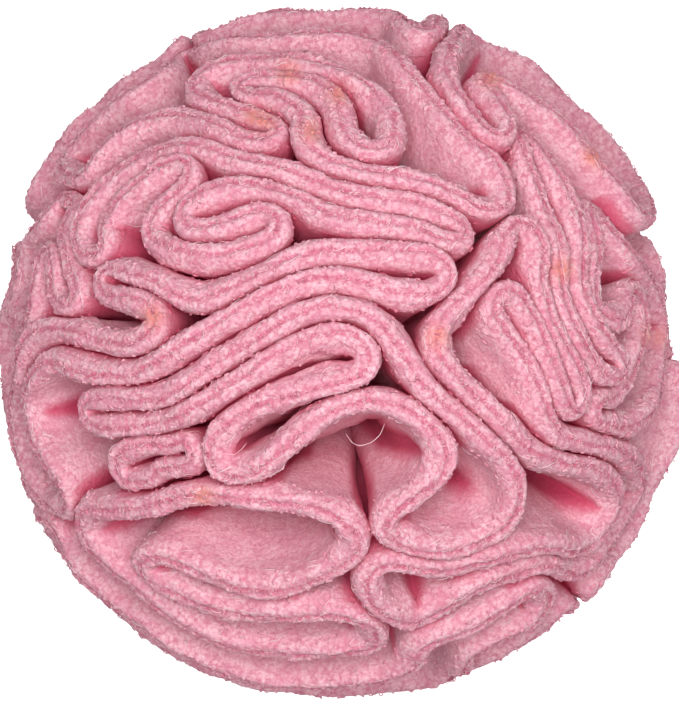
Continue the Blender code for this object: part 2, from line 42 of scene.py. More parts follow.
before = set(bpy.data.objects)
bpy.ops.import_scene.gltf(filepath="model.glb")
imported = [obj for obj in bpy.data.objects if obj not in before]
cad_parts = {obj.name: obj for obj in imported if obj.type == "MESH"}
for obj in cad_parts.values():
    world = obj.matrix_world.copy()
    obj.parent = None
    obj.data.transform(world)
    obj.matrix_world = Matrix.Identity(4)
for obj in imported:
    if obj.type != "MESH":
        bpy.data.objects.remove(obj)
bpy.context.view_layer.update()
CORE_LOW, CORE_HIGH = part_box("stitched_core")
CENTRE = (CORE_LOW + CORE_HIGH) / 2
SHEET_NODES = sorted(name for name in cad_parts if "disc_" in name)

MM = 0.001
BALL_RADIUS = 82.5 * MM

# How the sheets' middle lines are read off the solids: the spacing of their points, how many times as many
# the meshes have, the steps of the curve from corner to corner, the fewest points of a line, how near two
# corners are one, and how far out the seats reach, in radii of the core.
LINE_SPACING = 2.6 * MM
FINER = 3
CURVE_STEPS = 24
LEAST_POINTS = 12
MERGE = 0.01 * MM
CORE_ZONE = 1.5

# How far out the rims stand: where a rim begins, in radii of the ball, how near two directions are one,
# which directions the floor presses in, and how often the reach is evened out along the line.
RIM_ZONE = 0.9
SAME_PLACE_COSINE = 0.9992
PRESSED_COSINE = -0.85
REACH_FAIRING = 3

# How lines are pushed apart: the rounds, after how many of them near pairs are looked for again, how near
# these are and how far along a line from each other, in spacings, and the share of each push and easing.
# Pairs are looked for from so many points at a time.
OPEN_ROUNDS = 48
PAIR_ROUNDS = 8
PAIR_REACH = 1.2
PAIR_APART = 1.6
OPEN_PUSH = 0.18
OPEN_EASE = 0.25
NEAR_BATCH = 512

# How the room beside a line is measured, in radians: how far off other faces are looked for, the most room
# that a face takes, the least offset to one side, and how often the room is narrowed and evened out.
WIDTH_REACH = 0.12
WIDTH_MOST = 0.2
WIDTH_ASIDE = 1e-6
WIDTH_NARROWING = 2
WIDTH_FAIRING = 6

# How the pile fills that room: the share of it that a pressed face takes, the gap left at the core, how
# many swells from the usual thickness it starts to close a fold, the depths in millimetres below the rim
# from where and over which it does, and how often the result is evened out along the line.
PRESSED_SHARE = 0.96
SEAT_GAP = 0.4 * MM
SWELL_REACH = 2
SWELL_START = 1
SWELL_RISE = 3
SWELL_FAIRING = 16

# How closed a fold counts as, which is how much painted shade and painted glow the materials give it: what its
# gap has on top, the gap up to which it is narrow, how much wider it is when it isn't any more, and the share
# of the closing that is left then.
OPEN_MARGIN = 0.9 * MM
NARROW_GAP = 2.0 * MM
NARROW_FADE = 9.0 * MM
NARROW_LEAST = 0.55

# The slow noise in the rims, as the size and phase of their rise and fall, of their lean, and of what moves
# the strip of knit base, there with its share of half the thickness. It ends at a depth in millimetres.
NOISE_GAIN = 1.6
LIFT_NOISE = (16 * MM, 3.0)
LEAN_NOISE = (11 * MM, 40.0)
WANDER_NOISES = ((7 * MM, 80.0, 0.20), (2.4 * MM, 120.0, 0.07))
NOISE_DEPTH = 8.0

# The strip of knit base: half its width and the width over which the pile begins, as shares of half the
# thickness, and its depth in millimetres. Then the depth that counts as 1 in the attribute "depth".
KNIT_SHARE = 0.10
KNIT_FADE = 0.20
KNIT_DEPTH = 3
DEPTH_UNIT = 30.0

# How a sheet's middle line opens out below its rim: depth as a share of the ball's radius, and the
# spacing that the sheets take there, in radians.
LEVELS = ((1.0, 0.0), (0.93, 0.080), (0.82, 0.100), (0.68, 0.118), (0.45, 0.125))

# Half of the cross section of a cut edge, from the knit base in its middle out and down one face: place
# across as a share of half the thickness, and depth below the rim in millimetres.
EDGE_PROFILE = ((0.0, 0.34), (0.13, 0.22), (0.27, 0.05), (0.43, 0.0), (0.59, 0.14), (0.74, 0.48), (0.86, 1.05),
                (0.945, 1.85), (0.985, 2.7), (1.0, 3.6), (0.98, 4.4), (0.95, 5.6), (0.91, 7.0), (0.87, 8.8),
                (0.83, 11.2), (0.79, 14.5), (0.75, 19.0), (0.70, 26.0), (0.64, 38.0), (0.58, 52.0), (0.5, 68.2))

# The nubs: the detail of their noise, and the share of their height that is left on the knit base.
NUB_DETAIL = 1.5
KNIT_NUBS = 0.3

# Fibres: the most that one turns about each axis, in radians, and the least and most that it is scaled by
# on each. Then, for stray fibres and for curls, the "depth" at which they end and how freely they turn.
FIBRE_TURN = (0.22, 0.25, 1.0)
FIBRE_SCALES = ((0.45, 0.6, 0.5), (1.5, 1.3, 1.6))
FIBRE_SCALE_SEED = 7
STRAY_DEPTH, STRAY_TURN = 0.33, 0.55
CURL_DEPTH, CURL_TURN = 0.2, 3.1

# Loops of the knit base: the same turn, the least and most scale, and the corners of the box in which one
# lies off the line. There are none where the line is less than this above the floor.
LOOP_TURN = (0.9, 0.7, 1.4)
LOOP_SCALES = (0.7, 1.25)
LOOP_ASIDE = ((-0.6 * MM, -0.6 * MM, -0.6 * MM), (0.6 * MM, 0.6 * MM, 0.3 * MM))
LOOP_CLEARANCE = 1 * MM

# Places where the pink has faded to peach, to the right of the ball's middle and up from it as the eye
# sees them, and how far the tint reaches, all as shares of the ball's radius.
PEACH_PLACES = ((-0.15, 0.83), (0.0, 0.77), (-0.08, 0.66), (-0.22, 0.69), (-0.55, 0.11), (0.29, 0.05),
                (0.66, 0.25), (0.45, 0.82), (0.75, 0.58), (0.93, 0.05), (-0.40, -0.42), (-0.25, 0.70))
PEACH_REACH = 0.034

# The photograph: the eye's distance from the ball's centre, its size, and the ball's middle and radius in
# it, in pixels. Then the camera's sensor and far clip, and half the floor's side.
EYE_DISTANCE = 12 * BALL_RADIUS
PHOTO_SIZE = (679, 704)
PHOTO_CENTRE = (339, 354)
PHOTO_RADIUS = 340
SENSOR = 36.0
CLIP_END = 20.0
FLOOR_HALF = 3.0

# The light: how strong the world is, and each lamp's name, place from the ball's centre, size and power.
WORLD_STRENGTH = 0.24
LAMPS = (("key_softbox", (-0.01, 0.06, 0.70), 0.35, 2.85),
         ("overhead_softbox", (0.12, -0.16, 1.25), 0.9, 6.2))

# Loose threads, as the places that each passes, in the same shares. Then their radius and taper, the lowest
# that they lie as a share of the ball's radius, and how their course is made.
THREAD_SHARES = (
    ((0.64, 0.38), (0.655, 0.29), (0.67, 0.20), (0.70, 0.10), (0.75, 0.0), (0.80, -0.09)),
    ((0.020, -0.235), (0.038, -0.262), (0.060, -0.272), (0.096, -0.262), (0.122, -0.238), (0.135, -0.205)),
    ((-0.345, -0.292), (-0.31, -0.298), (-0.288, -0.282), (-0.272, -0.262)),
    ((-0.66, 0.40), (-0.63, 0.385), (-0.60, 0.375), (-0.565, 0.38)),
)
THREAD_RADIUS = 0.085 * MM
THREAD_TAPER = 0.5
THREAD_SIDES = 5
THREAD_LEAST_SHARE = 0.94
THREAD_STEPS = 60
THREAD_FAIRING = 12
THREAD_TAUTNESS = 400


def linear(code):
    """A hex colour as it shows on a screen, turned into the linear values that a shader takes."""
    shown = [int(code[i:i + 2], 16) / 255 for i in (1, 3, 5)]
    return tuple(c / 12.92 if c <= 0.04045 else ((c + 0.055) / 1.055) ** 2.4 for c in shown) + (1.0,)


def unit(vectors):
    return vectors / np.linalg.norm(vectors, axis=-1, keepdims=True)


def fill(tree, node, inputs):
    """Link or set a node's inputs."""
    for key, value in dict(inputs).items():
        if isinstance(value, bpy.types.NodeSocket):
            tree.links.new(value, node.inputs[key])
        else:
            node.inputs[key].default_value = value


def add(tree, kind, inputs=(), **settings):
    """Add a node, set it, and fill its inputs."""
    node = tree.nodes.new(kind)
    for name, value in settings.items():
        setattr(node, name, value)
    fill(tree, node, inputs)
    return node


def maths(tree, operation, *values, **settings):
    """The result of an operation on values."""
    return add(tree, "ShaderNodeMath", dict(enumerate(values)), operation=operation, **settings).outputs[0]


def vector_maths(tree, operation, *values):
    """The result of an operation on vectors."""
    return add(tree, "ShaderNodeVectorMath", dict(enumerate(values)), operation=operation).outputs[0]


def scaled(tree, first, second):
    """The product of two values."""
    return maths(tree, "MULTIPLY", first, second)


def scaled_vector(tree, vector, scale):
    """A vector times a value."""
    return add(tree, "ShaderNodeVectorMath", {0: vector, "Scale": scale}, operation="SCALE").outputs[0]


def ranged(tree, value, low, high, start=0.0, end=1.0):
    """A value brought from one range to another, and held there."""
    return add(tree, "ShaderNodeMapRange", {"Value": value, "From Min": low, "From Max": high, "To Min": start,
                                            "To Max": end}).outputs[0]


def speckle(tree, place, size, detail=2.0, roughness=0.5):
    """The outputs of a noise with grains of about this size."""
    return add(tree, "ShaderNodeTexNoise", {"Vector": place, "Scale": 1 / size, "Detail": detail,
                                            "Roughness": roughness}).outputs


def in_scene(name, data):
    """A new object, linked to the scene."""
    thing = bpy.data.objects.new(name, data)
    bpy.context.scene.collection.objects.link(thing)
    return thing


# Rims

def walked(edges):
    """The closed loops that a set of edges makes, each as its corners in order."""
    beside = {}
    for edge in edges:
        for corner in edge.verts:
            beside.setdefault(corner, []).append(edge.other_vert(corner))
    loops = []
    while beside:
        corner = next(iter(beside))
        loop = []
        while corner in beside:
            loop.append(corner)
            ahead = beside.pop(corner)
            corner = next((other for other in ahead if other in beside), None)
        loops.append(np.array([c.co for c in loop]))
    return loops


def matched(first, second):
    """The second loop turned round until its corners face those of the first."""
    tries = [np.roll(way, k, axis=0) for way in (second, second[::-1]) for k in range(len(second))]
    return min(tries, key=lambda way: np.linalg.norm(first - way, axis=1).sum())


def middle_line(node):
    """The middle line of a CAD sheet, as directions from the ball's centre to the corners of its seat."""
    bm = bmesh.new()
    bm.from_mesh(node.data)
    bmesh.ops.remove_doubles(bm, verts=bm.verts, dist=MERGE)
    distance = {corner: (corner.co - CENTRE).length for corner in bm.verts}
    zone = min(distance.values()) * CORE_ZONE
    seat = {face for face in bm.faces if all(distance[corner] < zone for corner in face.verts)}
    border = [edge for edge in bm.edges if sum(face in seat for face in edge.link_faces) == 1]
    loops = sorted(walked(border), key=len)[-2:]
    bm.free()
    if len(loops) < 2 or len(loops[0]) != len(loops[1]):
        raise ValueError(f"{node.name} has no pair of seat loops: {[len(loop) for loop in loops]}")
    middle = (loops[0] + matched(loops[0], loops[1])) / 2
    return unit(middle - np.array(CENTRE))


def closed_curve(corners, spacing):
    """A smooth closed curve through the corners, at even distances of about this spacing."""
    ahead = np.roll(corners, -1, axis=0) - corners
    span = np.linalg.norm(ahead, axis=1)[:, None]
    slope = ahead / span
    span_before = np.roll(span, 1, axis=0)
    tangent = (slope * span_before + np.roll(slope, 1, axis=0) * span) / (span + span_before)
    steps = np.linspace(0, 1, CURVE_STEPS, endpoint=False)
    curve = []
    for i in range(len(corners)):
        j = (i + 1) % len(corners)
        for t in steps:
            curve.append((2 * t ** 3 - 3 * t ** 2 + 1) * corners[i] + (t ** 3 - 2 * t ** 2 + t) * span[i] * tangent[i]
                         + (3 * t ** 2 - 2 * t ** 3) * corners[j] + (t ** 3 - t ** 2) * span[i] * tangent[j])
    curve = np.array(curve + curve[:1])
    along = np.concatenate(([0.0], np.cumsum(np.linalg.norm(np.diff(curve, axis=0), axis=1))))
    even = np.linspace(0, along[-1], max(LEAST_POINTS, round(along[-1] / spacing)), endpoint=False)
    return unit(np.stack([np.interp(even, along, curve[:, axis]) for axis in range(3)], axis=1))


class Lines:
    """The middle lines of all the sheets in one array, with each point's neighbours along its line."""

    def __init__(self, lines):
        self.sizes = [len(line) for line in lines]
        self.points = np.concatenate(lines)
        self.size = np.repeat(self.sizes, self.sizes)
        self.line = np.repeat(np.arange(len(lines)), self.sizes)
        self.place = np.concatenate([np.arange(size) for size in self.sizes])
        start = np.arange(len(self.points)) - self.place
        self.after = start + (self.place + 1) % self.size
        self.before = start + (self.place - 1) % self.size

    def near(self, distance):
        """Pairs of points within a distance, and how many steps lie between them along a line."""
        found = []
        for start in range(0, len(self.points), NEAR_BATCH):
            close = self.points[start:start + NEAR_BATCH] @ self.points.T > 1 - distance ** 2 / 2
            first, second = np.nonzero(close)
            found.append((first + start, second))
        first, second = (np.concatenate(half) for half in zip(*found))
        apart = np.abs(self.place[first] - self.place[second])
        apart = np.minimum(apart, self.size[first] - apart)
        apart = np.where(self.line[first] == self.line[second], apart, len(self.points))
        return first, second, apart

    def faired(self, values, rounds):
        """Values evened out along the lines."""
        for _ in range(rounds):
            values = (2 * values + values[self.after] + values[self.before]) / 4
        return values

    def opened(self, spacing):
        """The lines pushed apart until neighbours keep this spacing, where there is room for it."""
        step = LINE_SPACING / BALL_RADIUS
        home = self.points.copy()
        for turn in range(OPEN_ROUNDS):
            if turn % PAIR_ROUNDS == 0:
                first, second, apart = self.near(PAIR_REACH * spacing)
                kept = apart * step > PAIR_APART * spacing
                first, second = first[kept], second[kept]
            away = self.points[first] - self.points[second]
            distance = np.linalg.norm(away, axis=1)[:, None]
            push = np.zeros_like(self.points)
            np.add.at(push, first, OPEN_PUSH * np.maximum(spacing - distance, 0) * away / distance)
            shift = self.points + push - home
            shift += OPEN_EASE * (shift[self.before] + shift[self.after] - 2 * shift)
            self.points = unit(home + shift)
        return self.points.copy()

    def free_width(self, sideways):
        """How far each face may stand off the middle line before it meets another face, on either side."""
        first, second, apart = self.near(WIDTH_REACH)
        kept = apart > 1
        first, second = first[kept], second[kept]
        reach = self.points[second] - self.points[first]
        across = np.sum(reach * sideways[first], axis=1)
        squared = np.sum(reach ** 2, axis=1)
        widths = []
        for side in (1, -1):
            facing = side * across > WIDTH_ASIDE
            radius = np.full(len(self.points), WIDTH_MOST)
            np.minimum.at(radius, first[facing], squared[facing] / (2 * side * across[facing]))
            for _ in range(WIDTH_NARROWING):
                radius = np.minimum(radius, np.minimum(radius[self.after], radius[self.before]))
            widths.append(self.faired(radius, WIDTH_FAIRING))
        return widths


def finer(values, lines):
    """Each line's values at FINER times as many points, on a smooth curve."""
    before, after = values[lines.before], values[lines.after]
    beyond = values[lines.after][lines.after]
    rows = []
    for k in range(FINER):
        t = k / FINER
        rows.append(0.5 * (2 * values + (after - before) * t + (2 * before - 5 * values + 4 * after - beyond) * t ** 2
                           + (3 * values - before - 3 * after + beyond) * t ** 3))
    return np.stack(rows, axis=1).reshape(-1, *values.shape[1:])


def sheet_reaches(node, directions):
    """How far the sheet's rim stands from the ball's centre, with the pressed folds at their full reach."""
    co = np.array([corner.co for corner in node.data.vertices]) - np.array(CENTRE)
    least = RIM_ZONE * BALL_RADIUS
    rim = co[np.linalg.norm(co, axis=1) > least]
    facing = unit(rim) @ directions.T > SAME_PLACE_COSINE
    reach = np.max(rim @ directions.T * facing, axis=0)
    usual = float(np.median(reach[reach > least]))
    pressed = (reach < least) | (directions[:, 2] < PRESSED_COSINE)
    return np.where(pressed, usual, reach)


def gather():
    """All that the sheets are made from: their lines at each depth, free widths and reaches."""
    coarse = Lines([closed_curve(middle_line(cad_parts[name]), LINE_SPACING / BALL_RADIUS)
                    for name in SHEET_NODES])
    reach = np.concatenate([sheet_reaches(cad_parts[name], coarse.points[coarse.line == i])
                            for i, name in enumerate(SHEET_NODES)])
    reach = coarse.faired(reach, REACH_FAIRING)
    depths = []
    for _, spacing in LEVELS:
        depths.append(coarse.opened(spacing) if spacing else coarse.points.copy())
    reach = finer(reach, coarse)
    depths = [unit(finer(points, coarse)) for points in depths]
    fine = Lines([np.zeros((size * FINER, 3)) for size in coarse.sizes])
    levels = []
    for points in depths:
        fine.points = points
        along = unit(points[fine.after] - points[fine.before])
        levels.append((points, fine.free_width(np.cross(along, points))))
    return fine, reach, levels


# Meshes

def row_places(drop, share, side, fine, reach, levels, sizes):
    """One row of every sheet: a share of half the thickness off its middle line and a depth below its rim."""
    full_drop = EDGE_PROFILE[-1][1] * MM
    deep = (drop / full_drop) ** 2
    seat = (CORE_HIGH.z - CORE_LOW.z) / 2 + SEAT_GAP
    radius = reach - drop * (1 + deep * ((reach - seat) / full_drop - 1))
    depth_share = np.clip(radius / reach, LEVELS[-1][0], 1.0)
    direction = np.zeros_like(fine.points)
    free = np.zeros(len(radius))
    for (upper, lower), (high, low) in zip(zip(levels, levels[1:]), zip(LEVELS, LEVELS[1:])):
        inside = (depth_share <= high[0]) & (depth_share >= low[0])
        blend = np.clip((high[0] - depth_share) / (high[0] - low[0]), 0, 1)
        between = (1 - blend)[:, None] * upper[0] + blend[:, None] * lower[0]
        direction = np.where(inside[:, None], between, direction)
        free = np.where(inside, (1 - blend) * upper[1][side] + blend * lower[1][side], free)
    direction = unit(direction)
    along = unit(direction[fine.after] - direction[fine.before])
    sideways = unit(np.cross(along, direction)) * (1 - 2 * side)
    usual, limit = sizes.pile_thickness / 2, PRESSED_SHARE * free * radius
    swell = (np.clip((usual - limit) / sizes.pile_swell + SWELL_REACH, 0, 1)
             * np.clip((drop / MM - SWELL_START) / SWELL_RISE, 0, 1))
    half = np.minimum(limit, usual + np.maximum(limit - usual, 0) * swell)
    for _ in range(SWELL_FAIRING):
        half = np.minimum(limit, (half[fine.before] + 2 * half + half[fine.after]) / 4)
    # How shut in from the light each point is, as in a groove of this gap at this depth. The materials paint shade
    # and a glow from it, through the attribute "fold".
    gap = free * radius - half + OPEN_MARGIN
    narrow = np.clip(1 - (gap - NARROW_GAP) / NARROW_FADE, NARROW_LEAST, 1)
    closed = narrow * (1 - gap / np.hypot(gap, drop))
    if drop < sizes.rounding_depth:
        squeeze = np.minimum(half / usual, 1.0)
        radius = radius + drop * (1 - squeeze) * (1 - drop / sizes.rounding_depth)
    return radius[:, None] * direction + (share * half)[:, None] * sideways, direction, along, closed


def wavering(places, scale, phase):
    """Slow, even noise at places, from -1 to 1."""
    return np.array([noise.noise(Vector(place) / scale + Vector((phase, 0, 0))) for place in places]) * NOISE_GAIN


def sheet_rows(sizes):
    """The rows of all the sheets, from one seat over the rim to the other, with what is known at each point."""
    fine, reach, levels = gather()
    rim = reach[:, None] * levels[0][0]
    lift = wavering(rim, *LIFT_NOISE) * sizes.rim_waver
    lean = wavering(rim, *LEAN_NOISE) * sizes.rim_lean
    wander = sum(wavering(rim, scale, phase) * most for scale, phase, most in WANDER_NOISES)
    rows, pile, depth, alongs, folds = [], [], [], [], []
    for side, profile in ((0, EDGE_PROFILE[::-1]), (1, EDGE_PROFILE[1:])):
        for share, drop in profile:
            fade = max(0.0, 1 - drop / NOISE_DEPTH)
            tilt = fade * lean * share * (1 - 2 * side)
            shares = share + fade * wander * (1 - share) * (1 - 2 * side)
            places, direction, along, closed = row_places(drop * MM, shares, side, fine, reach, levels, sizes)
            rows.append(places + (fade * lift + tilt)[:, None] * direction)
            pile.append(np.clip((abs(share) - KNIT_SHARE) / KNIT_FADE, 0, 1) if drop < KNIT_DEPTH else 1.0)
            depth.append(drop / DEPTH_UNIT)
            alongs.append(along)
            folds.append(closed)
    return fine, np.array(rows), np.array(pile), np.array(depth), np.array(alongs), np.array(folds)


def peach_at(places):
    """How much the pink has faded to peach at places about the ball's centre."""
    seen = places[:, :2] / (BALL_RADIUS * (EYE_DISTANCE - places[:, 2:]) / EYE_DISTANCE)
    tint = np.zeros(len(places))
    for x, y in PEACH_PLACES:
        off = np.hypot(seen[:, 0] - x, seen[:, 1] - y)
        tint = np.maximum(tint, np.exp(-(off / PEACH_REACH) ** 2) * (places[:, 2] > 0))
    return tint


def grid_mesh(name, rows, pile, depth, along, fold):
    """A closed sheet from its rows, each a closed line, with its map in metres and its attributes."""
    count, width = rows.shape[:2]
    places = rows.reshape(-1, 3) + np.array(CENTRE)
    places[:, 2] = np.maximum(places[:, 2], 0.0)
    this_row, this_place = np.meshgrid(np.arange(count), np.arange(width), indexing="ij")
    next_row, next_place = (this_row + 1) % count, (this_place + 1) % width
    corners = np.stack([this_row * width + this_place, this_row * width + next_place,
                        next_row * width + next_place, next_row * width + this_place], axis=-1).reshape(-1, 4)
    mesh = bpy.data.meshes.new(name)
    mesh.vertices.add(len(places))
    mesh.vertices.foreach_set("co", places.ravel().astype(np.float32))
    mesh.loops.add(corners.size)
    mesh.loops.foreach_set("vertex_index", corners.ravel().astype(np.int32))
    mesh.polygons.add(len(corners))
    mesh.polygons.foreach_set("loop_start", np.arange(0, corners.size, 4, dtype=np.int32))
    mesh.update(calc_edges=True)
    mesh.validate()

    middle = rows[count // 2]
    run = np.concatenate(([0.0], np.cumsum(np.linalg.norm(np.roll(middle, -1, axis=0) - middle, axis=1))))
    climb = np.concatenate(([0.0], np.cumsum(np.linalg.norm(np.diff(rows, axis=0), axis=2).mean(axis=1)), [0.0]))
    climb[-1] = climb[-2] + MM
    shown = np.stack([np.stack([run[this_place + dx], climb[this_row + dy]], axis=-1)
                      for dx, dy in ((0, 0), (1, 0), (1, 1), (0, 1))], axis=2).reshape(-1, 2)
    mesh.uv_layers.new(name="cloth").data.foreach_set("uv", shown.ravel().astype(np.float32))
    # The attribute "fold" holds how shut in from the light each point is. The materials paint shade and a glow from
    # it.
    for key, values in (("pile", np.repeat(pile, width)), ("depth", np.repeat(depth, width)),
                        ("fold", fold.ravel()), ("peach", peach_at(rows.reshape(-1, 3)))):
        mesh.attributes.new(key, "FLOAT", "POINT").data.foreach_set("value", values.astype(np.float32))
    mesh.attributes.new("along", "FLOAT_VECTOR", "POINT").data.foreach_set(
        "vector", along.reshape(-1, 3).ravel().astype(np.float32))
    return mesh


def rim_line(name, spots):
    """The line along a cut edge, without the stretches that lie on the floor."""
    ahead = np.roll(np.arange(len(spots)), -1)
    clear = np.minimum(spots[:, 2], spots[ahead, 2]) > LOOP_CLEARANCE
    line = bpy.data.meshes.new(name)
    line.from_pydata(spots, [(i, int(ahead[i])) for i in np.flatnonzero(clear).tolist()], [])
    return line


# Geometry Nodes

def attribute(tree, key, kind="FLOAT"):
    """An attribute of the mesh that a tree is given."""
    return add(tree, "GeometryNodeInputNamedAttribute", {"Name": key}, data_type=kind).outputs[0]


def random_vector(tree, corners, seed):
    """A random vector in the box between two corners."""
    return add(tree, "FunctionNodeRandomValue", {"Min": corners[0], "Max": corners[1], "Seed": seed},
               data_type="FLOAT_VECTOR").outputs[0]


def random_turn(tree, most, seed):
    """Random angles about the three axes, of at most these sizes either way."""
    return random_vector(tree, (tuple(-angle for angle in most), most), seed)


def new_tree(name, **sockets):
    """A geometry tree with a mesh in and out, a material, and named inputs of each kind."""
    tree = bpy.data.node_groups.new(name, "GeometryNodeTree")
    for kind, keys in {"Geometry": ("Geometry",), **sockets, "Material": ("Material",)}.items():
        for key in keys:
            tree.interface.new_socket(key, in_out="INPUT", socket_type="NodeSocket" + kind)
    tree.interface.new_socket("Geometry", in_out="OUTPUT", socket_type="NodeSocketGeometry")
    return tree, add(tree, "NodeGroupInput").outputs


def end_tree(tree, geometry, material):
    """Every tree ends with its instances made real and their material set."""
    real = add(tree, "GeometryNodeRealizeInstances", {"Geometry": geometry})
    painted = add(tree, "GeometryNodeSetMaterial", {"Geometry": real.outputs[0], "Material": material})
    add(tree, "NodeGroupOutput", {"Geometry": painted.outputs[0]})


def made_by(tree, base, name, values):
    """The mesh that a tree makes from a base mesh with these values, as an object of its own."""
    carrier = in_scene(name + "_base", base)
    modifier = carrier.modifiers.new("Plush", "NODES")
    modifier.node_group = tree
    identifiers = {item.name: item.identifier for item in tree.interface.items_tree if item.in_out == "INPUT"}
    for key, value in values.items():
        modifier[identifiers[key]] = value
    graph = bpy.context.evaluated_depsgraph_get()
    mesh = bpy.data.meshes.new_from_object(carrier.evaluated_get(graph), depsgraph=graph)
    carrier.modifiers.remove(modifier)
    bpy.data.objects.remove(carrier)
    mesh.name = name
    places = np.empty(len(mesh.vertices) * 3, dtype=np.float32)
    mesh.vertices.foreach_get("co", places)
    places[2::3] = np.maximum(places[2::3], 0.0)
    mesh.vertices.foreach_set("co", places)
    return in_scene(name, mesh)


def nubby_tree():
    """Raises the small curls of the pile on a sheet, less at its knit edge, and keeps it above the floor."""
    tree, given = new_tree("Nubby pile", Float=("Nub size", "Nub height", "Clump size", "Clump height"))
    position = add(tree, "GeometryNodeInputPosition").outputs[0]
    heights = []
    for key in ("Nub", "Clump"):
        scale = maths(tree, "DIVIDE", 1.0, given[key + " size"])
        curls = add(tree, "ShaderNodeTexNoise", {"Vector": position, "Scale": scale, "Detail": NUB_DETAIL}).outputs[0]
        heights.append(scaled(tree, maths(tree, "ADD", curls, -0.5), given[key + " height"]))
    left = maths(tree, "MULTIPLY_ADD", attribute(tree, "pile"), 1 - KNIT_NUBS, KNIT_NUBS)
    height = scaled(tree, maths(tree, "ADD", *heights), left)
    offset = scaled_vector(tree, add(tree, "GeometryNodeInputNormal").outputs[0], height)
    above = vector_maths(tree, "MAXIMUM", vector_maths(tree, "ADD", position, offset), (-1.0, -1.0, 0.0))
    raised = add(tree, "GeometryNodeSetPosition", {"Geometry": given["Geometry"], "Position": above})
    smooth = add(tree, "GeometryNodeSetShadeSmooth", {"Geometry": raised.outputs[0]})
    end_tree(tree, smooth.outputs[0], given["Material"])
    return tree


def laid_along(tree, first_axis, first, second_axis, second, turn):
    """The rotation that lays one axis along the first direction, brings another towards the second, and then
    turns about its own axes."""
    laid = add(tree, "FunctionNodeAlignRotationToVector", {"Vector": first}, axis=first_axis)
    brought = add(tree, "FunctionNodeAlignRotationToVector", {"Rotation": laid.outputs[0], "Vector": second},
                  axis=second_axis, pivot_axis=first_axis)
    return add(tree, "FunctionNodeRotateRotation", {"Rotation": brought.outputs[0], "Rotate By": turn},
               rotation_space="LOCAL").outputs[0]


def end_with_copies(tree, points, shape, rotation, size, material):
    """End a tree with a small shape repeated on points."""
    source = add(tree, "GeometryNodeObjectInfo", {"Object": shape})
    placed = add(tree, "GeometryNodeInstanceOnPoints", {"Points": points, "Instance": source.outputs["Geometry"],
                                                        "Rotation": rotation, "Scale": size})
    end_tree(tree, placed.outputs[0], material)


def fibre_tree():
    """Lays short curled fibres on the pile round the rims, most of them along the cut edge."""
    tree, given = new_tree("Pile fibres", Float=("Density", "Depth", "Length", "Turn"), Int=("Seed",),
                           Object=("Fibre",))
    near_rim = ranged(tree, attribute(tree, "depth"), 0.0, given["Depth"], 1.0, 0.0)
    density = scaled(tree, scaled(tree, near_rim, attribute(tree, "pile")), given["Density"])
    strewn = add(tree, "GeometryNodeDistributePointsOnFaces", {"Mesh": given["Geometry"], "Density": density,
                                                               "Seed": given["Seed"]})
    freedom = add(tree, "ShaderNodeCombineXYZ", {"X": 1.0, "Y": 1.0, "Z": given["Turn"]}).outputs[0]
    turn = vector_maths(tree, "MULTIPLY", random_turn(tree, FIBRE_TURN, given["Seed"]), freedom)
    rotation = laid_along(tree, "Z", strewn.outputs["Normal"], "X", attribute(tree, "along", "FLOAT_VECTOR"), turn)
    size = scaled_vector(tree, random_vector(tree, FIBRE_SCALES, FIBRE_SCALE_SEED), given["Length"])
    end_with_copies(tree, strewn.outputs[0], given["Fibre"], rotation, size, given["Material"])
    return tree


def knit_tree():
    """Repeats one small loop of yarn along the middle of a cut edge, where the knit base ends."""
    tree, given = new_tree("Knit edge", Float=("Spacing", "Loop size"), Int=("Seed",), Object=("Loop",),
                           Vector=("Centre",))
    curve = add(tree, "GeometryNodeMeshToCurve", {"Mesh": given["Geometry"]}).outputs[0]
    even = add(tree, "GeometryNodeResampleCurve", {"Curve": curve, "Length": given["Spacing"]}, mode="LENGTH")
    aside = random_vector(tree, LOOP_ASIDE, given["Seed"])
    moved = add(tree, "GeometryNodeSetPosition", {"Geometry": even.outputs[0], "Offset": aside})
    position = add(tree, "GeometryNodeInputPosition").outputs[0]
    outwards = vector_maths(tree, "SUBTRACT", position, given["Centre"])
    tangent = add(tree, "GeometryNodeInputTangent").outputs[0]
    turn = random_turn(tree, LOOP_TURN, given["Seed"])
    rotation = laid_along(tree, "X", tangent, "Z", outwards, turn)
    vary = add(tree, "FunctionNodeRandomValue", {2: LOOP_SCALES[0], 3: LOOP_SCALES[1], "Seed": given["Seed"]})
    size = scaled(tree, vary.outputs[1], given["Loop size"])
    end_with_copies(tree, moved.outputs[0], given["Loop"], rotation, size, given["Material"])
    return tree


# Small shapes that the trees repeat

def tube(name, centres, radii, sides):
    """A thin tube of yarn round a line of points."""
    bm = bmesh.new()
    rings = []
    for i, (centre, radius) in enumerate(zip(centres, radii)):
        along = (centres[min(i + 1, len(centres) - 1)] - centres[max(i - 1, 0)]).normalized()
        across = along.orthogonal().normalized() if i == 0 else (across - along * across.dot(along)).normalized()
        beside = along.cross(across)
        rings.append([bm.verts.new(centre + radius * (math.cos(a) * across + math.sin(a) * beside))
                      for a in (2 * math.pi * k / sides for k in range(sides))])
    for low, high in zip(rings, rings[1:]):
        for k in range(sides):
            bm.faces.new((low[k], low[(k + 1) % sides], high[(k + 1) % sides], high[k]))
    bm.faces.new(rings[0][::-1])
    bm.faces.new(rings[-1])
    mesh = bpy.data.meshes.new(name)
    bm.to_mesh(mesh)
    bm.free()
    mesh.shade_smooth()
    return mesh


def curled_fibre():
    """One short fibre, a unit long, whose ends dip into the pile."""
    ts = (-0.5, -0.27, 0.0, 0.25, 0.5)
    centres = [Vector((t, 0.10 * math.sin(5 * t), 0.05 - 0.55 * t * t)) for t in ts]
    return tube("curled_fibre", centres, (0.010, 0.020, 0.024, 0.020, 0.008), 3)


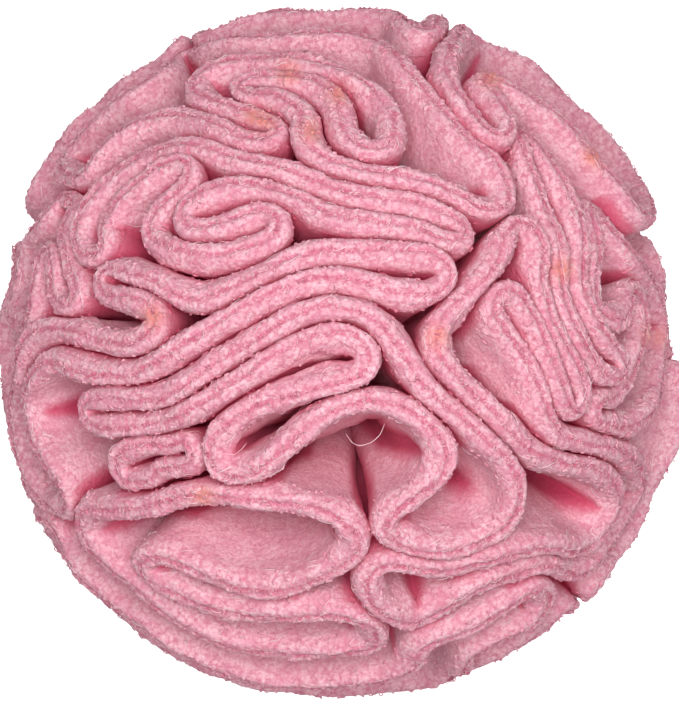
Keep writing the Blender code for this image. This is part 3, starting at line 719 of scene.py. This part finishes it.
def pile_curl():
    """One curl of pile, a unit long, that rises out of the fleece and bends back into it."""
    ts = (-0.5, -0.2, 0.18, 0.5)
    centres = [Vector((t, 0.16 * math.sin(5 * t), 0.05 - 1.3 * t * t)) for t in ts]
    return tube("pile_curl", centres, (0.12, 0.25, 0.25, 0.11), 4)


def yarn_loop():
    """One loop of the knit base, a unit across, standing a little out of the cut edge."""
    angles = [math.radians(a) for a in (-35, 25, 90, 155, 215)]
    centres = [Vector((0.5 * math.cos(a), 0.42 * math.sin(2 * a), 0.42 * math.sin(a) - 0.05)) for a in angles]
    return tube("yarn_loop", centres, (0.13, 0.17, 0.18, 0.17, 0.13), 3)


# Materials

def new_material(name):
    material = bpy.data.materials.new(name)
    material.use_nodes = True
    tree = material.node_tree
    return material, tree, tree.nodes["Principled BSDF"]


def mixed(tree, amount, first, second):
    """The first colour turned towards the second by this amount."""
    return add(tree, "ShaderNodeMix", {0: amount, 6: first, 7: second}, data_type="RGBA").outputs[2]


def fleece_material(look):
    """Double-faced polyester plush: curled pile scatters light to a soft pale pink, and the knit base in the middle
    of a cut edge is deeper rose. Deep in a fold the colour is turned crimson as painted shade, for the light that
    goes from fibre to fibre there and comes back crimson, and a faint crimson glow is painted there too."""
    material, tree, shader = new_material("plush_fleece_pile")
    tips, base = look.tip_colour, look.base_colour
    place = add(tree, "ShaderNodeTexCoord").outputs["Object"]
    cloth = add(tree, "ShaderNodeUVMap", uv_map="cloth").outputs[0]
    pile, depth, fold, peach = (add(tree, "ShaderNodeAttribute", attribute_name=key).outputs["Fac"]
                                for key in ("pile", "depth", "fold", "peach"))

    # Curls of pile are about 1.25 mm across and lie at random, so their grid is pushed about by a noise.
    push = speckle(tree, place, 1.9 * MM, 1.0)["Color"]
    pushed = vector_maths(tree, "MULTIPLY_ADD", push, (1.6 * MM,) * 3, place)
    curls = add(tree, "ShaderNodeTexVoronoi", {"Vector": pushed, "Scale": 1 / (1.25 * MM), "Smoothness": 0.35},
                feature="SMOOTH_F1").outputs["Distance"]
    # Single fibres show as fuzz, and the pile is flattened and duller in patches some 5 mm across.
    fuzz = speckle(tree, place, 0.60 * MM, 3.0, 0.8)[0]
    patches = speckle(tree, place, 5 * MM, 3.0, 0.6)[0]
    # The fibres that the cut combed over run along the edge, 3 mm long and 0.5 mm apart.
    combed = add(tree, "ShaderNodeMapping", {"Vector": cloth, "Scale": (1 / (3.0 * MM), 1 / (0.5 * MM), 1.0)})
    streaks = speckle(tree, combed.outputs[0], 1.0)[0]

    ragged = maths(tree, "MULTIPLY_ADD", streaks, 1.3, -0.65)
    bare = maths(tree, "ADD", pile, ragged, use_clamp=True)
    colour = mixed(tree, ranged(tree, bare, 0.0, 1.0, 0.22, 1.0), base, look.pile_colour)
    near_rim = ranged(tree, depth, 0.03, 0.22, 1.0, 0.45)
    tinted = scaled(tree, peach, ranged(tree, depth, 0.02, 0.16, 0.95, 0.12))
    # The colour is turned in layers, each by its amount: pale tops and rosy bottoms of curls, which are partly the
    #     pile's own paler tips and rose base and partly painted highlight and painted shade; pale and rosy fuzz; dull
    #     patches; peach tints; and folds, where the crimson is painted shade.
    for amount, towards in (
            (scaled(tree, near_rim, ranged(tree, curls, 0.38, 0.08, 0.0, 0.52)), tips),
            (scaled(tree, near_rim, ranged(tree, curls, 0.42, 0.72, 0.0, 0.55)), base),
            (ranged(tree, fuzz, 0.51, 0.66, 0.0, 0.52), tips),
            (ranged(tree, fuzz, 0.48, 0.34, 0.0, 0.45), base),
            (ranged(tree, patches, 0.44, 0.62, 0.0, 0.42), linear("#DF859F")),
            (scaled(tree, tinted, ranged(tree, fuzz, 0.35, 0.6, 0.4, 1.0)), look.peach_colour),
            (ranged(tree, fold, 0.34, 0.92, 0.0, 0.95), look.fold_shade_colour)):
        colour = mixed(tree, amount, colour, towards)

    nubs = maths(tree, "MULTIPLY_ADD", curls, -0.8, fuzz)
    bump = add(tree, "ShaderNodeBump", {"Height": nubs, "Strength": 0.5, "Distance": 0.7 * MM})
    # A faint crimson glow, strongest in closed folds near the rim, is painted light: it stands in for red light that
    #     goes a few millimetres through the pile, so that it still reaches the bottom of a fold.
    deep = scaled(tree, ranged(tree, fold, 0.58, 0.88), ranged(tree, depth, 0.12, 0.42, 1.0, 0.1))
    fill(tree, shader, {
        "Base Color": colour, "Normal": bump.outputs[0], "Roughness": ranged(tree, fuzz, 0.35, 0.65, 0.88, 0.98),
        "Specular IOR Level": 0.15, "Sheen Weight": look.sheen, "Sheen Roughness": 0.55,
        "Sheen Tint": linear("#FFDDE6"), "Emission Strength": scaled(tree, deep, 0.090),
        "Emission Color": linear("#FF3070")})
    return material


def yarn_material(name, colour, second, fold_shade_colour, sheen):
    """Fine polyester yarn: a matt strand with a faint sheen, paler where it is teased out, and turned to the fold
    shade colour as painted shade where the mesh that it lies on is deep in a fold."""
    material, tree, shader = new_material(name)
    place = add(tree, "ShaderNodeTexCoord").outputs["Object"]
    fold = add(tree, "ShaderNodeAttribute", attribute_name="fold").outputs["Fac"]
    # Neighbouring strands differ over about 2 mm, and the twist of one shows at 0.3 mm.
    strands = speckle(tree, place, 2.0 * MM)[0]
    twist = speckle(tree, place, 0.3 * MM)[0]
    yarn = mixed(tree, ranged(tree, strands, 0.38, 0.62), colour, second)
    bump = add(tree, "ShaderNodeBump", {"Height": twist, "Strength": 0.3, "Distance": 0.1 * MM})
    fill(tree, shader, {
        "Base Color": mixed(tree, ranged(tree, fold, 0.15, 0.70), yarn, fold_shade_colour), "Normal": bump.outputs[0],
        "Roughness": ranged(tree, strands, 0.3, 0.7, 0.75, 0.92), "Specular IOR Level": 0.2, "Sheen Weight": sheen})
    return material


# What a user may change

def size_setting(name, description, default, subtype="DISTANCE", **limits):
    return FloatProperty(name=name, description=description, default=default, subtype=subtype, **limits)


def colour_setting(name, description, code):
    return FloatVectorProperty(name=name, description=description, default=linear(code), subtype="COLOR", size=4,
                               min=0, max=1)


class SnuffleSizes(bpy.types.PropertyGroup):
    """Sizes of the fleece and of what grows on it."""
    pile_thickness: size_setting("Fleece thickness", "Thickness of the sheet with the pile on both faces",
                                 6.1 * MM, min=2 * MM, max=9 * MM)
    rounding_depth: size_setting("Rounding depth", "Depth below the rim in which a tight fold is rounded off",
                                 5.6 * MM)
    pile_swell: size_setting("Pile swell", "How far the pile swells to close a narrow fold", 2.0 * MM, min=0.1 * MM)
    rim_waver: size_setting("Rim waver", "How far the cut rims rise and fall", 0.9 * MM)
    rim_lean: size_setting("Rim lean", "How far one face stands higher than the other", 0.9 * MM)
    nub_size: size_setting("Nub size", "Spacing of the small curls of the pile", 1.8 * MM)
    nub_height: size_setting("Nub height", "Height of the small curls", 0.50 * MM)
    clump_size: size_setting("Clump size", "Spacing of the flattened patches of pile", 7 * MM)
    clump_height: size_setting("Clump height", "Height of the flattened patches", 1.1 * MM)
    fibre_length: size_setting("Fibre length", "Length of a stray fibre in the pile", 4.0 * MM)
    fibre_density: size_setting("Fibres per square metre", "How many fibres lie on the rims", 36000.0, "NONE", min=0)
    curl_length: size_setting("Curl length", "Length of a curl of the pile", 1.4 * MM)
    curl_density: size_setting("Curls per square metre", "How many curls stand on the rims", 230000.0, "NONE", min=0)
    loop_spacing: size_setting("Loop spacing", "Distance between the loops of the knit base", 0.62 * MM)
    loop_size: size_setting("Loop size", "Width of a loop of the knit base", 0.95 * MM)
    seed: IntProperty(name="Seed", description="Seed of the fibres and loops", default=5, min=0)


class SnuffleLook(bpy.types.PropertyGroup):
    """Colours of the fleece."""
    pile_colour: colour_setting("Pile", "Colour of the pile", "#F6B9C8")
    # The pile tips and knit base colours also make the pale tops and rosy bottoms of the curls. These are partly
    # painted highlight and painted shade.
    tip_colour: colour_setting("Pile tips", "Colour of the teased-out tips", "#FFE2E8")
    base_colour: colour_setting("Knit base", "Colour of the knit base at a cut edge", "#CF6080")
    # Painted shade: the crimson given to closed folds, to the fibres in them and to the stitched core. It stands in
    # for shade and for light going from fibre to fibre.
    fold_shade_colour: colour_setting("Deep folds", "Colour of the pile deep in the folds", "#C83C62")
    peach_colour: colour_setting("Peach tint", "Colour that the pink has faded to in places", "#EC8F7C")
    sheen: FloatProperty(name="Sheen", description="Soft scatter of the pile at a glancing angle", default=0.12,
                         min=0, max=1, subtype="FACTOR")
    floor_colour: colour_setting("Floor", "Colour of the floor", "#F4F4F4")


# Operators

def finish_piece(piece):
    """Let a finished piece ride on the ball's one body."""
    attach(piece, "root")


class SNUFFLE_OT_fleece_sheets(bpy.types.Operator):
    """Make every gathered sheet of plush fleece, with its knit edge and the fibres on its pile"""
    bl_idname = "snuffle.fleece_sheets"
    bl_label = "Fleece sheets"

    def execute(self, context):
        sizes, look = context.scene.snuffle_sizes, context.scene.snuffle_look
        fleece = fleece_material(look)
        yarn = yarn_material("knit_base_yarn", linear("#D9738F"), linear("#F6C0CD"), look.fold_shade_colour, 0.2)
        hair = yarn_material("pile_fibres", linear("#FFE3EA"), look.tip_colour, look.fold_shade_colour, 0.1)
        helpers = [bpy.data.objects.new(mesh.name, mesh) for mesh in (curled_fibre(), yarn_loop(), pile_curl())]
        fibre, loop, curl = helpers
        nubby, fibres, knit = nubby_tree(), fibre_tree(), knit_tree()
        fine, rows, pile, depth, along, fold = sheet_rows(sizes)
        middle = rows.shape[0] // 2
        for number, node in enumerate(SHEET_NODES):
            kept = fine.line == number
            name = node.replace("disc", "fleece")
            base = grid_mesh(name + "_plain", rows[:, kept], pile, depth, along[:, kept], fold[:, kept])
            sheet = made_by(nubby, base, name, {
                "Nub size": sizes.nub_size, "Nub height": sizes.nub_height, "Clump size": sizes.clump_size,
                "Clump height": sizes.clump_height, "Material": fleece})
            hairs = made_by(fibres, sheet.data.copy(), name + "_fibres", {
                "Density": sizes.fibre_density, "Depth": STRAY_DEPTH, "Length": sizes.fibre_length,
                "Turn": STRAY_TURN, "Seed": sizes.seed + number, "Fibre": fibre, "Material": hair})
            curls = made_by(fibres, sheet.data.copy(), name + "_curls", {
                "Density": sizes.curl_density, "Depth": CURL_DEPTH, "Length": sizes.curl_length,
                "Turn": CURL_TURN, "Seed": sizes.seed + 2 * number, "Fibre": curl, "Material": fleece})
            edge = rows[middle, kept]
            loops = made_by(knit, rim_line(name + "_line", edge + np.array(CENTRE)), name + "_knit_edge", {
                "Spacing": sizes.loop_spacing, "Loop size": sizes.loop_size, "Seed": sizes.seed + number,
                "Loop": loop, "Centre": CENTRE, "Material": yarn})
            for piece in (sheet, hairs, curls, loops):
                finish_piece(piece)
            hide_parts(node)
        for helper in helpers:
            bpy.data.objects.remove(helper)
        return {"FINISHED"}


def thread_course(places, context):
    """The course of a loose thread that lies over the sheets, through places as the eye sees them."""
    graph = context.evaluated_depsgraph_get()
    eye = CENTRE + Vector((0, 0, EYE_DISTANCE))
    steps = np.linspace(0, len(places) - 1, THREAD_STEPS)
    seen = [np.interp(steps, range(len(places)), [place[axis] for place in places]) for axis in (0, 1)]
    for _ in range(THREAD_FAIRING):
        for axis in (0, 1):
            seen[axis][1:-1] = (seen[axis][:-2] + 2 * seen[axis][1:-1] + seen[axis][2:]) / 4
    aims, under = [], []
    for x, y in zip(*seen):
        aims.append(CENTRE + BALL_RADIUS * Vector((x, y, 0)) - eye)
        hit, spot, *_ = context.scene.ray_cast(graph, eye, aims[-1])
        least = BALL_RADIUS * math.sqrt(max(THREAD_LEAST_SHARE ** 2 - x * x - y * y, 0))
        under.append(max(spot.z - CENTRE.z if hit else 0.0, least) + THREAD_RADIUS)
    height = np.array(under)
    for _ in range(THREAD_TAUTNESS):
        height[1:-1] = np.maximum(under[1:-1], (height[:-2] + height[2:]) / 2)
    return [eye + aim * ((EYE_DISTANCE - level) / EYE_DISTANCE) for aim, level in zip(aims, height)]


class SNUFFLE_OT_loose_threads(bpy.types.Operator):
    """Lay the few loose threads of the cut edges over the folds"""
    bl_idname = "snuffle.loose_threads"
    bl_label = "Loose threads"

    def execute(self, context):
        pale = yarn_material("loose_thread_yarn", linear("#F9D8E0"), linear("#F0B2C3"), linear("#F0B2C3"), 0.2)
        context.view_layer.update()
        courses = [thread_course(places, context) for places in THREAD_SHARES]
        for number, course in enumerate(courses):
            spots = [2 * i / len(course) - 1 for i in range(len(course))]
            radii = [THREAD_RADIUS * (1 - THREAD_TAPER * spot ** 4) for spot in spots]
            mesh = tube(f"loose_thread_{number + 1}", course, radii, THREAD_SIDES)
            mesh.materials.append(pale)
            finish_piece(in_scene(mesh.name, mesh))
        return {"FINISHED"}


class SNUFFLE_OT_stitched_core(bpy.types.Operator):
    """Finish the stitched core that all the sheets are gathered on"""
    bl_idname = "snuffle.stitched_core"
    bl_label = "Stitched core"

    def execute(self, context):
        look = context.scene.snuffle_look
        # The core lies deep in shade among the sheets. Its yarn takes the crimson fold shade as its own colour, as
        # painted shade, streaked with the rose of the knit base.
        gathered = yarn_material("gathered_fleece", look.fold_shade_colour, look.base_colour, look.fold_shade_colour, 0.2)
        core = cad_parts["stitched_core"]
        core.data.materials.clear()
        core.data.materials.append(gathered)
        return {"FINISHED"}


class SNUFFLE_OT_stage(bpy.types.Operator):
    """Set the camera over the ball, and the floor and soft light round it"""
    bl_idname = "snuffle.stage"
    bl_label = "Stage"

    def execute(self, context):
        scene = context.scene
        look = scene.snuffle_look
        scene.view_settings.view_transform = "Standard"

        plane = bpy.data.meshes.new("floor")
        corners = [(x * FLOOR_HALF, y * FLOOR_HALF, 0) for x, y in ((-1, -1), (1, -1), (1, 1), (-1, 1))]
        plane.from_pydata(corners, [], [(0, 1, 2, 3)])
        floor = in_scene("floor", plane)
        material, tree, shader = new_material("pale_floor")
        fill(tree, shader, {"Base Color": look.floor_colour, "Roughness": 0.9, "Specular IOR Level": 0.0})
        glow = add(tree, "ShaderNodeEmission", {"Color": (1, 1, 1, 1), "Strength": seen_directly(tree)})
        both = add(tree, "ShaderNodeAddShader", {0: shader.outputs[0], 1: glow.outputs[0]})
        fill(tree, tree.nodes["Material Output"], {"Surface": both.outputs[0]})
        plane.materials.append(material)

        camera = in_scene("camera", bpy.data.cameras.new("camera"))
        camera.location = CENTRE + Vector((0, 0, EYE_DISTANCE))
        spread = math.tan(math.asin(BALL_RADIUS / EYE_DISTANCE)) / PHOTO_RADIUS
        camera.data.sensor_width = SENSOR
        camera.data.lens = SENSOR / (spread * PHOTO_SIZE[1])
        camera.data.shift_x = (PHOTO_SIZE[0] / 2 - PHOTO_CENTRE[0]) / PHOTO_SIZE[1]
        camera.data.shift_y = (PHOTO_CENTRE[1] - PHOTO_SIZE[1] / 2) / PHOTO_SIZE[1]
        camera.data.clip_end = CLIP_END
        scene.camera = camera

        world = bpy.data.worlds.new("studio")
        world.use_nodes = True
        tree = world.node_tree
        strength = ranged(tree, seen_directly(tree), 0.0, 1.0, WORLD_STRENGTH, 1.0)
        fill(tree, tree.nodes["Background"], {"Color": (1.0, 1.0, 1.0, 1.0), "Strength": strength})
        scene.world = world

        for name, place, size, energy in LAMPS:
            lamp = bpy.data.lights.new(name, "AREA")
            lamp.size = size
            lamp.energy = energy
            holder = in_scene(name, lamp)
            holder.location = CENTRE + Vector(place)
            holder.rotation_euler = (-Vector(place)).to_track_quat("-Z", "Y").to_euler()
        return {"FINISHED"}


def seen_directly(tree):
    """1 where the camera, a reflection or a clear surface sees it, and 0 where it only lights other things."""
    rays = add(tree, "ShaderNodeLightPath").outputs
    either = maths(tree, "MAXIMUM", rays["Is Camera Ray"], rays["Is Glossy Ray"])
    return maths(tree, "MAXIMUM", either, rays["Is Transmission Ray"])


class SNUFFLE_PT_panel(bpy.types.Panel):
    """The sizes, the colours and the steps that make the ball"""
    bl_idname = "SNUFFLE_PT_panel"
    bl_label = "Plush snuffle ball"
    bl_space_type = "VIEW_3D"
    bl_region_type = "UI"
    bl_category = "Snuffle Ball"

    def draw(self, context):
        for group in (context.scene.snuffle_sizes, context.scene.snuffle_look):
            column = self.layout.column(align=True)
            for key in group.__annotations__:
                column.prop(group, key)
        for operator in OPERATORS:
            self.layout.operator(operator.bl_idname)


OPERATORS = (SNUFFLE_OT_fleece_sheets, SNUFFLE_OT_loose_threads, SNUFFLE_OT_stitched_core, SNUFFLE_OT_stage)
CLASSES = (SnuffleSizes, SnuffleLook, *OPERATORS, SNUFFLE_PT_panel)


def register():
    for item in CLASSES:
        bpy.utils.register_class(item)
    bpy.types.Scene.snuffle_sizes = PointerProperty(type=SnuffleSizes)
    bpy.types.Scene.snuffle_look = PointerProperty(type=SnuffleLook)


def unregister():
    del bpy.types.Scene.snuffle_look
    del bpy.types.Scene.snuffle_sizes
    for item in reversed(CLASSES):
        bpy.utils.unregister_class(item)


def main():
    register()
    bpy.ops.snuffle.fleece_sheets()
    bpy.ops.snuffle.loose_threads()
    bpy.ops.snuffle.stitched_core()
    bpy.ops.snuffle.stage()


if __name__ == "__main__":
    main()
